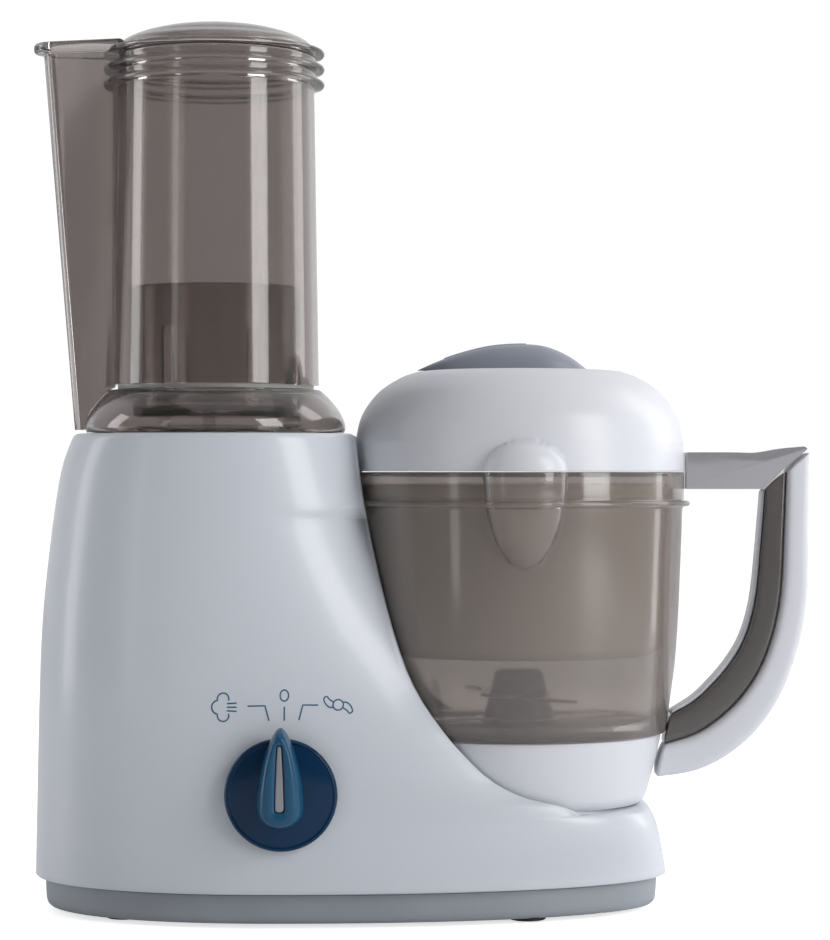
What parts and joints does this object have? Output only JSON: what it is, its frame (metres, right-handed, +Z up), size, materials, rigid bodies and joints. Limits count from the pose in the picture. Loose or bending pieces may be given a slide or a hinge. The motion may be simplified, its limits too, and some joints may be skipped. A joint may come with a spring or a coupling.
{
  "type": "baby food maker",
  "caption": "Baby food steamer and blender: a column with a smoked bottle warming bell beside a lidded blender jug with basket, handle and spout, on one oval base with a turn knob.",
  "frame": {"origin": "bottom centre of the object's box, on the surface it stands on", "axes": "+Z up, +X from the bell towards the jug handle, -Y to the front with the knob and spout"},
  "size_m": [0.3021, 0.1575, 0.3427],
  "materials": {
    "shell": "satin moulded, light blue-grey",
    "base_grey": "fine texture, mid grey",
    "rubber": "matt black",
    "steel": "bright",
    "dark_plastic": "satin",
    "brass": "turned",
    "silicone": "matt translucent grey",
    "lens": "clear",
    "knob_blue": "gloss, dark blue",
    "pointer_blue": "gloss, steel blue",
    "white": "satin gloss, cool white",
    "smoked": "clear, smoked brown",
    "grip_grey": "satin grey",
    "cream": "satin cream"
  },
  "bodies": {
    "base": {"housing": "shell", "base_plate": "base_grey", "rubber_foot_1": "rubber", "rubber_foot_2": "rubber", "rubber_foot_3": "rubber", "rubber_foot_4": "rubber", "case_screw_1": "steel", "case_screw_2": "steel", "case_screw_3": "steel", "case_screw_4": "steel", "cord_gland": "rubber", "motor_mount": "dark_plastic", "motor_end_cap": "steel", "motor_can": "steel", "drive_belt": "rubber", "lower_bearing": "brass", "upper_bearing": "brass", "shaft_seal": "rubber", "boiler_seal": "silicone", "boiler_pan": "steel", "heating_element": "steel", "thermostat": "dark_plastic", "steam_duct": "silicone", "steam_outlet_seal": "silicone", "selector_switch": "dark_plastic", "pilot_lamp": "lens", "interlock_switch": "dark_plastic", "plunger_spring": "steel", "steam_collar": "smoked", "bell_seal": "silicone", "steam_nozzle": "smoked"},
    "rotor": {"motor_rotor": "steel", "motor_pulley": "brass", "cooling_fan": "dark_plastic"},
    "drive": {"drive_pulley": "dark_plastic", "drive_shaft": "steel", "drive_coupling": "dark_plastic"},
    "knob": {"knob_spindle": "brass", "knob_disc": "knob_blue", "knob_pointer": "pointer_blue", "pointer_window": "lens"},
    "plunger": {"interlock_plunger": "white"},
    "bell": {"steam_bell": "smoked"},
    "stand": {"bottle_stand": "smoked"},
    "jug": {"jug_bowl": "smoked", "jug_foot": "white", "handle_liner": "white", "handle_cover": "white", "handle_core": "smoked", "blade_bush": "silicone"},
    "blades": {"blade_spindle": "steel", "blade_hub": "dark_plastic", "lower_blade": "steel", "upper_blade": "steel"},
    "basket": {"steam_basket": "cream"},
    "seal": {"lid_seal": "silicone"},
    "lid": {"lid": "white", "lid_grip": "grip_grey", "grip_inlay": "pointer_blue"}
  },
  "joints": [
    {"name": "motor_spin", "type": "hinge", "parent": "base", "child": "rotor", "pos_m": [-0.095, 0, 0.08], "axis": [0, 0, 1], "continuous": true},
    {"name": "drive_spin", "type": "hinge", "parent": "base", "child": "drive", "pos_m": [0.0382, 0, 0.03], "axis": [0, 0, 1], "continuous": true},
    {"name": "blade_spin", "type": "hinge", "parent": "jug", "child": "blades", "pos_m": [0.0382, 0, 0.07], "axis": [0, 0, 1], "continuous": true},
    {"name": "knob_turn", "type": "hinge", "parent": "base", "child": "knob", "pos_m": [-0.0515, -0.0642, 0.0498], "axis": [0, -1, 0], "range_deg": [-12.5, 12.5]},
    {"name": "interlock_press", "type": "slide", "parent": "base", "child": "plunger", "axis": [0, 0, 1], "range_m": [-0.0018, 0], "stiffness_N_per_m": 300, "springref_m": 0.003, "deforming": ["plunger_spring"]},
    {"name": "bell_lift", "type": "slide", "parent": "base", "child": "bell", "axis": [0, 0, 1], "range_m": [0, 0.16]},
    {"name": "stand_lift", "type": "slide", "parent": "base", "child": "stand", "axis": [0, 0, 1], "range_m": [0, 0.08]},
    {"name": "jug_lift", "type": "slide", "parent": "base", "child": "jug", "axis": [0, 0, 1], "range_m": [0, 0.15]},
    {"name": "lid_lift", "type": "slide", "parent": "jug", "child": "seal", "axis": [0, 0, 1], "range_m": [0, 0.16]},
    {"name": "lid_turn", "type": "hinge", "parent": "seal", "child": "lid", "pos_m": [0.0382, 0, 0.17], "axis": [0, 0, 1], "range_deg": [0, 20]},
    {"name": "basket_lift", "type": "slide", "parent": "jug", "child": "basket", "axis": [0, 0, 1], "range_m": [0, 0.08]}
  ],
  "couplings": [
    {"joint": "drive_spin", "follows": "motor_spin", "ratio": 0.4},
    {"joint": "blade_spin", "follows": "motor_spin", "ratio": 0.4},
    {"joint": "stand_lift", "follows": "bell_lift", "ratio": 0.5},
    {"joint": "basket_lift", "follows": "lid_lift", "ratio": 0.5}
  ]
}
